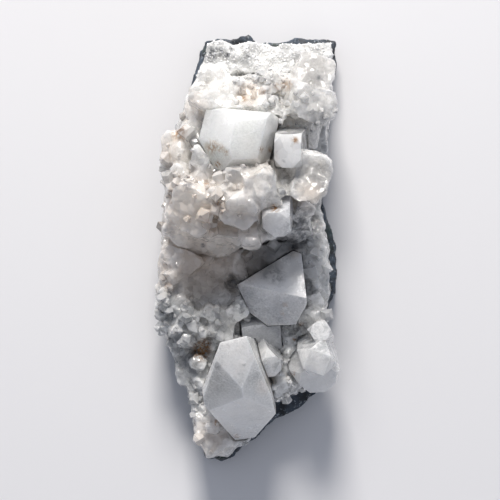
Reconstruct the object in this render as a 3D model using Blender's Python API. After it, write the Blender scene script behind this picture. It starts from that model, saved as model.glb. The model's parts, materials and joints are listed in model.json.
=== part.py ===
"""Apophyllite specimen lying on its back: a slab of dark basalt, the pale crust of small
crystals that coats it, and the large crystals that grew out of the crust.

Metres, +Z up, +Y towards the thick end. The origin is under the middle of the specimen,
on the surface that it rests on. Sizes below are in millimetres."""

import math
import random

import bmesh
import bpy
from mathutils import Matrix, Vector, noise

MM = 0.001

GAP = 0.3  # between pieces that touch
SEAM_HEIGHT = 8.5  # where the crust sits on the basalt
SEAM_WAVE = 1.6  # how far that joint wanders up and down
CRUST_TOP = 14.0  # the crust between its crystals
THIN_CRUST_TOP = 11.5  # the crust at the sawn end, where it is only a skin
CRYSTAL_ROOT = 2.2  # how far above that joint the large crystals end
PYRAMID_DROP = 1.25  # fall of a pyramid face for each millimetre of |x| + |y|

# Apophyllite is tetragonal: a square prism, cut at each corner by a steep pyramid face.


class Crystal:
    """One crystal: where its end face is, how it leans, and how it is cut.

    tip: middle of the flat end.
    tilt, toward: the lean of its long axis from upright, and the compass way it leans
    (0 is +X, 90 is +Y), in degrees.
    spin: turn about its own axis; at 45 an edge of the prism faces the way it leans.
    size: width, depth and length.
    cap: where the pyramid faces meet the flat end, from 0 for a full point to 2 for none.
    corners: the same, added for each corner in turn, so that no crystal is quite regular.
    trims: extra faces, each a point on it and the tilt and compass way that it looks.
    """

    def __init__(self, tip, tilt, toward, spin, size, cap=1.3, corners=(0, 0, 0, 0), trims=()):
        self.tip = tip
        self.tilt = tilt
        self.toward = toward
        self.spin = spin
        self.size = size
        self.cap = cap
        self.corners = corners
        self.trims = trims

    def placement(self):
        turn = Matrix.Rotation(math.radians(self.toward), 4, "Z")
        lean = Matrix.Rotation(math.radians(self.tilt), 4, "Y")
        roll = Matrix.Rotation(math.radians(self.spin), 4, "Z")
        return Matrix.Translation(self.tip) @ turn @ lean @ roll

    def solid(self, grow=0.0):
        """The crystal as a bmesh in place, its faces moved out by grow millimetres."""
        width, depth, length = self.size
        bm = bmesh.new()
        bmesh.ops.create_cube(bm, size=1.0)
        box = Matrix.Diagonal((width + 2 * grow, depth + 2 * grow, length + 2 * grow, 1))
        middle = Matrix.Translation((0, 0, -length / 2))
        bmesh.ops.transform(bm, matrix=middle @ box, verts=bm.verts)
        half = (width + depth) / 4
        ways = ((1, 1), (-1, 1), (-1, -1), (1, -1))
        for (x, y), extra in zip(ways, self.corners):
            reach = (self.cap + extra) * half
            normal = Vector((x, y, 1 / PYRAMID_DROP)).normalized()
            shave(bm, Vector((x * reach / 2, y * reach / 2, 0)) + normal * grow, normal)
        bmesh.ops.transform(bm, matrix=self.placement(), verts=bm.verts)
        for point, tilt, toward in self.trims:
            normal = heading(tilt, toward)
            shave(bm, Vector(point) + normal * grow, normal)
        bmesh.ops.recalc_face_normals(bm, faces=bm.faces)
        bmesh.ops.triangulate(bm, faces=bm.faces)
        return bm


def heading(tilt, toward):
    """The unit vector that leans tilt degrees from upright, toward a compass way."""
    lean, way = math.radians(tilt), math.radians(toward)
    return Vector((math.sin(lean) * math.cos(way), math.sin(lean) * math.sin(way), math.cos(lean)))


def shave(bm, point, normal):
    """Cuts off what lies beyond a plane, and closes the cut with one flat face."""
    cut = bmesh.ops.bisect_plane(
        bm,
        geom=bm.verts[:] + bm.edges[:] + bm.faces[:],
        dist=1e-6,
        plane_co=point,
        plane_no=normal,
        clear_outer=True,
    )
    rim = [e for e in cut["geom_cut"] if isinstance(e, bmesh.types.BMEdge)]
    if rim:
        bmesh.ops.contextual_create(bm, geom=rim)


# Crystals that stand clear of their neighbours, one solid each. The largest have faces
# of their own, where they met a neighbour or where one face outgrew the others.
SINGLE_CRYSTALS = {
    "wedge_crystal": Crystal(
        (8.1, -11.2, 31),
        10,
        100,
        0,
        (40, 40, 26),
        2,
        trims=[
            ((9.4, -7.1, 23.2), 28, 100),
            ((7.9, -11.8, 25.2), 34, -119),
            ((16.7, -7.4, 25), 91, 5),
            ((14.9, -0.7, 21), 94, 70),
            ((6.8, -4.5, 22.3), 94, 122),
            ((-0.2, -14, 22.2), 92, -156),
            ((4.3, -20, 20), 93, -127),
            ((12.5, -21.3, 22), 93, -85),
            ((17.8, -14.2, 24), 92, -25),
        ],
    ),
    "block_crystal": Crystal(
        (1, 29.5, 44.5),
        14,
        -20,
        10,
        (40, 40, 24),
        2,
        trims=[
            ((-3.6, 31, 45), 46, 171),
            ((0, 23.7, 43.6), 66, -81),
            ((5, 29.5, 43), 72, -14),
            ((1.7, 34.9, 44.2), 50, 85),
            ((-4, 25.5, 44.7), 54, -159),
            ((-11.4, 33.5, 36), 95, 165),
            ((8.4, 29.7, 36), 95, -14),
            ((-1.1, 21.2, 36), 95, -95),
            ((-8.8, 24, 33), 95, -150),
            ((-1, 37.3, 41), 95, 85),
        ],
    ),
    "spear_crystal": Crystal(
        (-3.5, -24, 46),
        36,
        95,
        0,
        (60, 60, 54),
        2,
        trims=[
            ((-1.9, -29.6, 40), 19, -86),
            ((-0.6, -37.8, 37.1), 35, -116),
            ((-0.6, -37.8, 37.1), 35, -48),
            ((-0.3, -40.2, 35.7), 55, -88),
            ((-7.6, -29.7, 40), 73, 173),
            ((-6.4, -24.7, 41.8), 92, 158),
            ((-3.6, -24.1, 41.9), 97, 104),
            ((4.7, -32.9, 33.6), 87, 20),
            ((-11.8, -39, 21), 88, -174),
            ((-7.5, -47.2, 22), 94, -150),
            ((8.4, -43, 22), 88, 12),
            ((7.8, -46.5, 20), 92, -33),
            ((0.4, -54.1, 15.6), 88, -81),
        ],
    ),
    "shadow_crystal": Crystal((5.0, -25.3, 17.5), 24, -72, -12, (8.5, 11, 12), 1.9),
    "clear_crystal": Crystal((7.2, -32.9, 24), 25, 300, 20, (6.5, 7, 12), 1.3),
    "glassy_crystal": Crystal((11.6, 26.3, 41), 15, 235, 35, (9, 7.2, 14), 1.45),
    "facet_crystal": Crystal((8.6, 6.6, 41), 30, 262, 12, (7.5, 7.5, 14), 1.5, (0, -0.2, 0, -0.3)),
}

# Three crystals that grew together over the right-hand edge
SIDE_CRYSTALS = {
    "side_top": Crystal((21.2, -22.7, 26), 15, 100, 20, (5.5, 5.5, 12), 1.3),
    "side_point": Crystal((20.0, -31.2, 29), 14, 255, 40, (8.5, 8.5, 16), 1.0),
    "side_base": Crystal((20.8, -36.6, 20), 38, 285, 30, (11, 10, 12), 1.4),
}

# The thick end, where the crystals have grown into each other
UPPER_CRYSTALS = {
    "pale_top_left": Crystal((-8.5, 43.8, 36), 25, 130, 20, (14, 13, 24), 1.6),
    "beige_left": Crystal((-14.3, 39.6, 27), 60, 175, 0, (11, 7, 16), 1.5),
    "striated": Crystal((19.8, 50.1, 29), 25, 60, 10, (10, 11, 20), 1.7),
    "bulb": Crystal((19.9, 39.8, 33), 30, -20, 5, (14, 10, 20), 1.5),
    "pocket1": Crystal((4.8, 45.9, 32), 15, 60, 30, (5, 5, 14), 1.2),
    "pocket2": Crystal((8.4, 47.1, 31), 20, 20, 10, (5, 6, 14), 1.3),
    "pocket3": Crystal((10.9, 43.9, 30), 12, 200, 50, (4.5, 5, 12), 1.1),
    "pocket4": Crystal((7.0, 40.5, 34), 20, 120, 20, (5, 5, 14), 1.2),
    "pocket5": Crystal((10.0, 37.1, 35), 15, 30, 35, (5, 5, 14), 1.2),
    "dome_behind": Crystal((-0.6, 41.2, 37.5), 40, 92, 0, (8, 14, 22), 1.7),
    "left_block": Crystal((-20.5, 28.2, 30), 40, 165, 10, (9, 9, 16), 1.6),
    "left_point": Crystal((-24.6, 22.4, 26), 74, 186, 40, (6.5, 6.5, 14), 0.5),
    "c1": Crystal((-18.9, 21.1, 34), 35, 170, 20, (5, 5, 14), 1.2),
    "c2": Crystal((-12.2, 24.1, 38), 30, 200, 40, (6, 6, 18), 1.6),
    "c3": Crystal((-15.2, 17.8, 36), 30, 210, 10, (5, 5, 16), 1.2),
    "c4": Crystal((-11.7, 19.3, 38), 25, 230, 30, (5, 5, 16), 1.1),
    "c5": Crystal((-19.8, 17.4, 32), 45, 200, 40, (5, 5, 14), 1.2),
    "c6": Crystal((-22.5, 19.0, 28), 60, 195, 10, (4.5, 4.5, 14), 1.2),
    "c7": Crystal((-10.6, 15.0, 38), 25, 240, 20, (5.5, 5.5, 16), 1.2),
    "blush": Crystal((-14.7, 10.2, 38), 30, 230, 15, (14, 13, 22), 1.6),
    "brow": Crystal(
        (-10.9, 1.2, 27),
        62,
        262,
        0,
        (13, 24, 18),
        1.8,
        trims=[((-20, 2, 24), 85, -130), ((-2.5, -0.5, 24), 85, -62)],
    ),
    "ridge1": Crystal((-2.4, 18.5, 43.5), 25, 250, 20, (7, 7, 18), 1.3),
    "ridge2": Crystal((-7.0, 13.2, 42.5), 25, 240, 40, (7, 7, 18), 1.3),
    "gable": Crystal((-1.5, 9.3, 42.5), 38, 262, 38, (11, 11, 20), 1.2),
    "grey_upper": Crystal((5.5, 13.6, 43.5), 24, 280, 10, (15, 9, 24), 1.7),
    "right_big": Crystal((18.5, 18.9, 41.5), 35, -25, 15, (12, 14, 26), 1.5),
    "dark_flank": Crystal((19.9, 32.7, 26), 65, -10, 0, (8, 9, 14), 1.6),
    "lowright1": Crystal((16.8, 9.6, 27), 50, -60, 20, (7, 7, 16), 1.4),
    "lowright2": Crystal((15.6, 3.8, 22), 60, -80, 10, (8, 8, 14), 1.5),
    "under1": Crystal((2.1, 0.7, 36), 60, 270, 20, (6, 6, 14), 1.2),
    "under2": Crystal((7.5, 3.0, 35), 56, 285, 10, (5, 5, 14), 1.2),
    "fill1": Crystal((-10.7, 32.7, 33), 35, 150, 20, (7, 7, 18), 1.4),
    "fill2": Crystal((-15.0, 34.6, 30), 50, 160, 10, (6, 6, 16), 1.3),
}

# The thin end, where smaller crystals cover the basalt
LOWER_CRYSTALS = {
    "b1a": Crystal((-20.8, -1.5, 24), 35, 150, 10, (8, 6, 14), 1.5),
    "b1b": Crystal((-16.1, -3.5, 24), 15, 200, 20, (7, 7, 14), 1.4),
    "b1c": Crystal((-21.8, -7.5, 22), 40, 180, 30, (7, 7, 14), 1.4),
    "b1d": Crystal((-17.1, -7.2, 20), 25, 300, 10, (5, 5, 12), 1.4),
    "b1e": Crystal((-21.1, -11.5, 20), 35, 190, 20, (6, 6, 12), 1.4),
    "b2a": Crystal((-22.7, -14.5, 21), 30, 180, 30, (7, 7, 12), 1.2),
    "b2b": Crystal((-18.4, -15.9, 22), 20, 220, 10, (6, 6, 12), 1.2),
    "b2c": Crystal((-24.5, -11.5, 20), 45, 170, 40, (5, 5, 10), 1.2),
    "b2d": Crystal((-21.1, -18.8, 20), 35, 210, 20, (6, 6, 12), 1.2),
    "b2e": Crystal((-20.9, -22.0, 19), 30, 220, 50, (6, 6, 12), 1.2),
    "b2f": Crystal((-15.4, -21.6, 20), 20, 260, 20, (6, 6, 12), 1.2),
    "b2g": Crystal((-18.3, -25.4, 19), 30, 230, 10, (7, 6, 12), 1.2),
    "b3": Crystal((-11.3, -9.6, 17), 20, 280, 20, (12, 12, 10), 1.6),
    "b12a": Crystal((-6.4, -21.4, 20), 15, 240, 20, (10, 8, 12), 1.6),
    "b12b": Crystal((-2.4, -18.4, 22), 15, 290, 20, (5, 5, 12), 1.3),
    "b12c": Crystal((-5.8, -15.2, 19), 20, 90, 10, (6, 6, 10), 1.3),
    "b14": Crystal((-16.6, -33.5, 14), 20, 180, 10, (8, 11, 8), 1.7),
    "b8": Crystal((11.0, -40.6, 17), 45, 300, 20, (8, 7, 12), 1.3),
    "b8b": Crystal((15.0, -32.3, 15), 20, 200, 20, (7, 8, 8), 1.4),
    "b10a": Crystal((21.0, 0.7, 17), 30, 0, 10, (7, 9, 10), 1.6),
    "b10b": Crystal((19.5, -5.8, 18), 20, 340, 20, (6, 6, 10), 1.4),
    "b10c": Crystal((22.2, -9.9, 15), 35, 350, 30, (5, 5, 8), 1.3),
    "b16a": Crystal((20.7, -15.3, 17), 25, 0, 20, (5, 6, 8), 1.4),
    "b16b": Crystal((22.1, -19.5, 17), 30, 340, 10, (5, 5, 8), 1.3),
    "b11b": Crystal((-10.8, -50.7, 14), 25, 200, 20, (7, 9, 8), 1.5),
    "b17": Crystal((-13.4, -43.4, 13), 25, 190, 20, (5, 5, 8), 1.3),
}

# The basalt, seen from above; the sawn end is at the top of the list
BASALT_OUTLINE = [
    (-11.7, 61.0), (-4.3, 61.3), (1.3, 62.1), (3.6, 60.6), (8.9, 60.3), (13.3, 61.5),
    (23.6, 61.4), (26.3, 60.6), (26.3, 54.0), (25.0, 44.0), (23.6, 32.0), (22.7, 14.0),
    (24.6, 7.5), (26.3, 1.0), (26.6, -9.0), (25.0, -16.0), (23.6, -24.0), (22.8, -35.0),
    (22.3, -38.5), (21.0, -42.4), (16.3, -45.6), (11.8, -48.0), (6.5, -51.5), (3.0, -55.5),
    (-1.0, -57.5), (-3.5, -60.5), (-7.0, -61.8), (-11.0, -61.0), (-13.2, -56.0), (-14.5, -48.0),
    (-16.5, -40.0), (-21.4, -29.6), (-25.0, -18.0), (-24.0, -4.0), (-22.5, 8.0), (-23.0, 24.0),
    (-19.5, 36.0), (-15.5, 46.0), (-13.7, 55.0),
]

# The crust on it, which stops short of the basalt's edge along the right-hand side
CRUST_OUTLINE = [
    (-11.2, 60.0), (1.5, 60.4), (8.9, 59.3), (13.5, 60.2), (25.4, 60.2), (25.9, 52.0),
    (25.0, 40.0), (24.0, 22.0), (22.5, 12.0), (23.4, 6.0), (25.0, 0.0), (24.8, -12.0),
    (24.0, -26.0), (21.5, -37.0), (15.0, -41.5), (9.5, -44.0), (6.0, -50.0), (1.0, -55.5),
    (-5.0, -60.0), (-10.5, -60.2), (-14.0, -55.0), (-15.5, -46.0), (-18.0, -38.0),
    (-22.0, -29.0), (-26.2, -17.0), (-25.8, -8.0), (-24.5, 4.0), (-23.5, 24.0),
    (-19.5, 37.0), (-15.5, 47.0), (-13.0, 56.0),
]

# Low, broad swellings of the crust: x, y, how wide and how high
SWELLINGS = [
    (-19, -5, 9, 8), (-19, -18, 9, 6), (-4, -17, 7, 5), (20, -2, 7, 4), (20, -31, 7, 4),
    (6, -28, 8, 1), (-14, 28, 10, 6), (16, 36, 12, 6), (0, 10, 14, 6), (-10, -52, 7, 2),
]

# The thick end: where its crystals share one solid, and how high that stands
HEART_OUTLINE = [
    (-10, 49), (0, 51), (12, 51), (22, 52), (23, 42), (20, 30), (21, 18), (17, 8), (12, 2),
    (2, 0), (-12, -1), (-18, 8), (-20, 20), (-17, 32), (-12, 42),
]
HEART_SWELLINGS = [(-2, 28, 18, 18), (14, 36, 12, 6), (-10, 8, 12, 8), (8, 10, 10, 12)]

# Colour, roughness and how much light goes through
FINISHES = {
    "crystal": ((0.86, 0.86, 0.85), 0.12, 0.6),
    "crystal_crust": ((0.72, 0.71, 0.69), 0.4, 0.3),
    "upper_cluster": ((0.84, 0.82, 0.80), 0.2, 0.5),
    "basalt_matrix": ((0.05, 0.055, 0.065), 0.85, 0.0),
}


def add_object(name, bm, collection="apophyllite_specimen"):
    """Makes an object of a bmesh, in a collection."""
    mesh = bpy.data.meshes.new(name)
    bm.to_mesh(mesh)
    bm.free()
    obj = bpy.data.objects.new(name, mesh)
    bpy.data.collections[collection].objects.link(obj)
    if collection == "cutters":
        obj.hide_render = True
        obj.display_type = "WIRE"
    return obj


def boolean(obj, operation, cutter):
    """Cuts or joins obj with the cutter, and removes the cutter."""
    modifier = obj.modifiers.new(operation.lower(), "BOOLEAN")
    modifier.operation = operation
    modifier.solver = "EXACT"
    modifier.object = cutter
    depsgraph = bpy.context.evaluated_depsgraph_get()
    old, obj.data = obj.data, bpy.data.meshes.new_from_object(obj.evaluated_get(depsgraph))
    obj.modifiers.clear()
    bpy.data.meshes.remove(old)
    bpy.data.meshes.remove(cutter.data)


def volume_of(faces):
    """Volume inside some closed faces."""
    total = 0
    for face in faces:
        first = face.verts[0].co
        for one, two in zip(face.verts[1:], face.verts[2:]):
            total += first.dot(one.co.cross(two.co)) / 6
    return total


def bodies_of(bm):
    """The faces of a bmesh, grouped by the closed body that they belong to."""
    left = set(bm.faces)
    bodies = []
    while left:
        body, reach = set(), [left.pop()]
        while reach:
            face = reach.pop()
            body.add(face)
            for edge in face.edges:
                for other in edge.link_faces:
                    if other in left:
                        left.remove(other)
                        reach.append(other)
        bodies.append(body)
    return bodies


def tidy(obj):
    """Merges what the cuts left too fine, drops the chips that they left loose, and turns
    millimetres into metres."""
    bm = bmesh.new()
    bm.from_mesh(obj.data)
    bmesh.ops.remove_doubles(bm, verts=bm.verts, dist=0.002)
    bmesh.ops.dissolve_degenerate(bm, edges=bm.edges, dist=0.002)
    bmesh.ops.dissolve_limit(bm, angle_limit=math.radians(0.5), verts=bm.verts, edges=bm.edges)
    bmesh.ops.triangulate(bm, faces=bm.faces)
    bodies = sorted(bodies_of(bm), key=volume_of)
    chips = [face for body in bodies[:-1] for face in body]
    bmesh.ops.delete(bm, geom=chips, context="FACES")
    bmesh.ops.scale(bm, vec=(MM, MM, MM), verts=bm.verts)
    bm.to_mesh(obj.data)
    bm.free()


def centre(pieces):
    """Puts the origin under the middle of the specimen."""
    points = [vert.co for piece in pieces for vert in piece.data.vertices]
    low = [min(point[i] for point in points) for i in range(3)]
    high = [max(point[i] for point in points) for i in range(3)]
    shift = Vector((-(low[0] + high[0]) / 2, -(low[1] + high[1]) / 2, -low[2]))
    for piece in pieces:
        piece.data.transform(Matrix.Translation(shift))


def inside(x, y, outline):
    """Whether a point is inside an outline."""
    crossings = 0
    for (x1, y1), (x2, y2) in zip(outline, outline[1:] + outline[:1]):
        if (y1 > y) != (y2 > y) and x < x1 + (x2 - x1) * (y - y1) / (y2 - y1):
            crossings += 1
    return crossings % 2 == 1


def rough_slab(outline, levels, step, roughness):
    """A slab with broken sides: rings of points round a clockwise outline, at each level's
    height and inset, shifted by noise. The lowest and the highest ring are capped."""
    points = []
    for (x1, y1), (x2, y2) in zip(outline, outline[1:] + outline[:1]):
        count = max(1, round(math.hypot(x2 - x1, y2 - y1) / step))
        for i in range(count):
            points.append(Vector((x1 + (x2 - x1) * i / count, y1 + (y2 - y1) * i / count, 0)))
    bm = bmesh.new()
    rings = []
    for height, inset in levels:
        ring = []
        for i, point in enumerate(points):
            along = points[(i + 1) % len(points)] - points[i - 1]
            out = Vector((-along.y, along.x, 0)).normalized()
            shift = noise.noise(point * 0.35 + Vector((0, 0, height * 0.5))) * roughness
            place = point - out * (inset + shift) + Vector((0, 0, height))
            ring.append(bm.verts.new(place))
        rings.append(ring)
    for low, high in zip(rings, rings[1:]):
        for i in range(len(points)):
            bm.faces.new((low[i - 1], low[i], high[i], high[i - 1]))
    bm.faces.new(rings[0])
    bm.faces.new(rings[-1])
    bmesh.ops.triangulate(bm, faces=bm.faces)
    bmesh.ops.recalc_face_normals(bm, faces=bm.faces)
    return bm


def relief(height, depth, step):
    """A block whose top follows height(x, y), down to a flat depth; both in millimetres."""
    across, along = 70, 134
    columns, rows = round(across / step), round(along / step)
    bm = bmesh.new()
    size = Matrix.Diagonal((across / 2, along / 2, 1, 1))
    bmesh.ops.create_grid(bm, x_segments=columns, y_segments=rows, size=1, matrix=size)
    top = bm.faces[:]
    bottom = bmesh.ops.extrude_face_region(bm, geom=top)
    lowered = {v for v in bottom["geom"] if isinstance(v, bmesh.types.BMVert)}
    for vert in bm.verts:
        x, y = vert.co.x, vert.co.y
        vert.co.z = depth if vert in lowered else height(x, y)
    bmesh.ops.recalc_face_normals(bm, faces=bm.faces)
    bmesh.ops.triangulate(bm, faces=bm.faces)
    return bm


def seam(x, y):
    """Height of the joint between the basalt and the crust."""
    return SEAM_HEIGHT + SEAM_WAVE * noise.noise(Vector((x * 0.06, y * 0.06, 3)))


def crust_height(x, y):
    """Height of the crust between its crystals."""
    sawn = min(1, max(0, (y - 42) / 12))
    height = CRUST_TOP + (THIN_CRUST_TOP - CRUST_TOP) * sawn
    for at_x, at_y, wide, high in SWELLINGS:
        height += high * math.exp(-((x - at_x) ** 2 + (y - at_y) ** 2) / (wide * wide))
    return height + (1.2 - 0.7 * sawn) * noise.noise(Vector((x * 0.3, y * 0.3, 7)))


def scattered(count, seed, area, smallest, largest):
    """Small crystals strewn over an area of the crust, leaning every way."""
    rng = random.Random(seed)
    low_x, high_x, low_y, high_y = area
    crystals = []
    while len(crystals) < count:
        x, y = rng.uniform(low_x, high_x), rng.uniform(low_y, high_y)
        size = rng.uniform(smallest, largest)
        corners = [(x + i * size * 0.7, y + j * size * 0.7) for i in (-1, 1) for j in (-1, 1)]
        if not all(inside(*corner, CRUST_OUTLINE) for corner in corners):
            continue
        tip = (x, y, crust_height(x, y) + size * rng.uniform(0.2, 0.7))
        shape = (size, size * rng.uniform(0.8, 1.2), size * 1.8)
        lean = rng.uniform(5, 45)
        crystals.append(
            Crystal(tip, lean, rng.uniform(0, 360), rng.uniform(0, 90), shape, rng.uniform(1, 1.5))
        )
    return crystals


def below_seam(raised):
    """Everything under the joint, or under a surface that runs a little above it."""
    return add_object("below", relief(lambda x, y: seam(x, y) + raised, -60, 6), "cutters")


def grown_together(name, crystals, grow=0.0, collection="apophyllite_specimen"):
    """Some crystals joined in one solid, which stops above the joint with the basalt."""
    whole = add_object(name, crystals[0].solid(grow), collection)
    for crystal in crystals[1:]:
        boolean(whole, "UNION", add_object(name, crystal.solid(grow), "cutters"))
    boolean(whole, "DIFFERENCE", below_seam(CRYSTAL_ROOT - grow))
    return whole


def heart(x, y):
    """Height of the solid crystal that the large crystals of the thick end share."""
    height = 12
    for at_x, at_y, wide, high in HEART_SWELLINGS:
        height += high * math.exp(-((x - at_x) ** 2 + (y - at_y) ** 2) / (wide * wide))
    return height + noise.noise(Vector((x * 0.25, y * 0.25, 1)))


def upper_cluster(grow=0.0, collection="apophyllite_specimen"):
    """The intergrown crystals of the thick end."""
    inner = relief(lambda x, y: heart(x, y) + grow, 6, 4)
    cluster = add_object("upper_cluster", inner, collection)
    side = rough_slab(HEART_OUTLINE, [(0, -grow), (40, 2 - grow)], 5, 1.5)
    boolean(cluster, "INTERSECT", add_object("side", side, "cutters"))
    for crystal in UPPER_CRYSTALS.values():
        boolean(cluster, "UNION", add_object("one", crystal.solid(grow), "cutters"))
    boolean(cluster, "DIFFERENCE", below_seam(CRYSTAL_ROOT - grow))
    return cluster


def basalt():
    """The dark rock that everything grew on: flat below, with broken sides."""
    levels = [(0, 0.8), (2.5, -0.2), (5.5, 0.2), (8, 0), (12, 0.8)]
    rock = add_object("basalt_matrix", rough_slab(BASALT_OUTLINE, levels, 4, 1.6))
    boolean(rock, "INTERSECT", below_seam(0))
    return rock


def crust():
    """The skin of small crystals that coats the basalt."""
    skin = add_object("crystal_crust", relief(crust_height, 2, 4.4))
    levels = [(0, 0), (8, 0), (12, 0.3), (17, 1), (32, 2)]
    edge = rough_slab(CRUST_OUTLINE, levels, 4, 1.6)
    boolean(skin, "INTERSECT", add_object("edge", edge, "cutters"))
    strewn = scattered(62, 5, (-27, 27, -61, 2), 2.8, 4.8)
    strewn += scattered(12, 6, (-20, 27, 46, 56), 2, 3.4)
    for crystal in [*LOWER_CRYSTALS.values(), *strewn]:
        boolean(skin, "UNION", add_object("one", crystal.solid(), "cutters"))
    boolean(skin, "DIFFERENCE", below_seam(GAP))
    return skin


def material(name, colour, roughness, transmission):
    """A plain finish for one piece."""
    finish = bpy.data.materials.new(name)
    finish.use_nodes = True
    shader = finish.node_tree.nodes["Principled BSDF"]
    shader.inputs["Base Color"].default_value = (*colour, 1)
    shader.inputs["Roughness"].default_value = roughness
    shader.inputs["Transmission Weight"].default_value = transmission
    shader.inputs["IOR"].default_value = 1.535
    finish.diffuse_color = (*colour, 1)
    return finish


def main():
    for obj in list(bpy.data.objects):
        bpy.data.objects.remove(obj)
    for name in ("apophyllite_specimen", "cutters"):
        bpy.context.scene.collection.children.link(bpy.data.collections.new(name))

    groups = {name: [crystal] for name, crystal in SINGLE_CRYSTALS.items()}
    groups["side_crystals"] = list(SIDE_CRYSTALS.values())
    pieces = []
    for i, (name, crystals) in enumerate(groups.items()):
        piece = grown_together(name, crystals)
        for earlier in list(groups.values())[:i]:
            boolean(piece, "DIFFERENCE", grown_together("socket", earlier, GAP, "cutters"))
        pieces.append(piece)

    cluster, skin = upper_cluster(), crust()
    for crystals in groups.values():
        boolean(cluster, "DIFFERENCE", grown_together("socket", crystals, GAP, "cutters"))
        boolean(skin, "DIFFERENCE", grown_together("socket", crystals, GAP, "cutters"))
    boolean(skin, "DIFFERENCE", upper_cluster(GAP, "cutters"))
    pieces += [cluster, skin, basalt()]

    for piece in pieces:
        tidy(piece)
        piece.data.name = piece.name
        finish = FINISHES.get(piece.name, FINISHES["crystal"])
        piece.data.materials.append(material(piece.name, *finish))
    centre(pieces)


if __name__ == "__main__":
    main()
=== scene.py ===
import json
import math
import random

import bmesh
import bpy
import numpy as np
from mathutils import Matrix, Vector, noise
from mathutils.bvhtree import BVHTree
from mathutils.kdtree import KDTree

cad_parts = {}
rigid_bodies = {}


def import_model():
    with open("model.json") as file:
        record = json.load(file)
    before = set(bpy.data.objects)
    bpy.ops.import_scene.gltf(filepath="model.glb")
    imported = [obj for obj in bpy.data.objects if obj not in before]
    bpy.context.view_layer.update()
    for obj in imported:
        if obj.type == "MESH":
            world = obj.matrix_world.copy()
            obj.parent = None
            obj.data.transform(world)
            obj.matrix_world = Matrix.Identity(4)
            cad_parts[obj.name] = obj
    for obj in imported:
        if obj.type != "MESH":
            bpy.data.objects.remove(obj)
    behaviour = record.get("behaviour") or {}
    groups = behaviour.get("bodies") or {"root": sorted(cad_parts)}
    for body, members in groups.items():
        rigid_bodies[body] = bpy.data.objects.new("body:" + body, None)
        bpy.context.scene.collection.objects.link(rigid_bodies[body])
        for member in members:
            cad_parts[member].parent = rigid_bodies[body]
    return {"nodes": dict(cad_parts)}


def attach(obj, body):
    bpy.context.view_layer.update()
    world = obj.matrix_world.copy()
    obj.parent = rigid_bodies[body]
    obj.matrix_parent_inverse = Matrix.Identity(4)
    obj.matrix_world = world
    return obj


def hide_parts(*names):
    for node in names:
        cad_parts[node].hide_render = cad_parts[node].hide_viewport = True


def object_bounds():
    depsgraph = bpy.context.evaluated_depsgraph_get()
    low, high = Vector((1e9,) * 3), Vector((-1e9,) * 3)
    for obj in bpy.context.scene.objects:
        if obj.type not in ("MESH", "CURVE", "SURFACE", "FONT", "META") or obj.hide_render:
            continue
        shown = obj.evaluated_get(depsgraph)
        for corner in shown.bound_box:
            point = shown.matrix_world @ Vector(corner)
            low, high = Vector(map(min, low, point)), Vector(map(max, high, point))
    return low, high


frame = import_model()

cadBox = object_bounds()
scene = bpy.context.scene
mm = 0.001


def linearColour(hexText):
    # sRGB hex to the linear values that Blender works in
    parts = [int(hexText[i:i + 2], 16) / 255 for i in (1, 3, 5)]
    return [p / 12.92 if p <= 0.04045 else ((p + 0.055) / 1.055) ** 2.4 for p in parts] + [1.0]


def addNode(tree, kind, settings=None, inputs=None):
    # settings are the node's own options; an input takes a value or another node's socket
    node = tree.nodes.new(kind)
    for key, value in (settings or {}).items():
        setattr(node, key, value)
    for key, value in (inputs or {}).items():
        if isinstance(value, bpy.types.NodeSocket):
            tree.links.new(value, node.inputs[key])
        else:
            node.inputs[key].default_value = value
    return node


# Camera straight above. A window beyond the thick end lights the specimen from the side, and a
# weak low fill comes from the other end. Places are in metres.

view = {"place": (1.154 * mm, -0.446 * mm, 400 * mm), "lens": 96.68, "sensor": 36, "nearest": 0.01}
cameraData = bpy.data.cameras.new("camera")
cameraData.lens = view["lens"]
cameraData.sensor_width = view["sensor"]
cameraData.clip_start = view["nearest"]
camera = bpy.data.objects.new("camera", cameraData)
camera.location = view["place"]
scene.collection.objects.link(camera)
scene.camera = camera

lighting = {
    "window": {"at": (-0.06, 0.95, 0.64), "size": 0.34, "power": 17.8, "colour": "#FFFAF4"},
    "fill": {"at": (0.4, -0.88, 0.24), "size": 0.9, "power": 2.0, "colour": "#EAEEFA"},
}
room = {"colour": "#E2E8F7", "towards": (-0.15, 0.85, 0.5), "dim": 0.04, "bright": 0.58}
for name, lamp in lighting.items():
    data = bpy.data.lights.new(name, "AREA")
    data.size = lamp["size"]
    data.energy = lamp["power"]
    data.color = linearColour(lamp["colour"])[:3]
    light = bpy.data.objects.new(name, data)
    light.location = lamp["at"]
    light.rotation_euler = (-Vector(lamp["at"])).to_track_quat("-Z", "Y").to_euler()
    scene.collection.objects.link(light)
scene.world = bpy.data.worlds.new("room")
scene.world.use_nodes = True
sky = scene.world.node_tree
background = sky.nodes["Background"]
background.inputs["Color"].default_value = linearColour(room["colour"])
skyPlace = addNode(sky, "ShaderNodeTexCoord").outputs["Generated"]
facing = addNode(sky, "ShaderNodeVectorMath", {"operation": "DOT_PRODUCT"},
                 {0: skyPlace, 1: room["towards"]})
level = addNode(sky, "ShaderNodeMapRange", None,
                {"Value": facing.outputs["Value"], "From Min": -1, "From Max": 1,
                 "To Min": room["dim"], "To Max": room["bright"]})
sky.links.new(level.outputs[0], background.inputs["Strength"])
scene.view_settings.view_transform = "Standard"

# a matt painted board: even and pale, with no gloss

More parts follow.
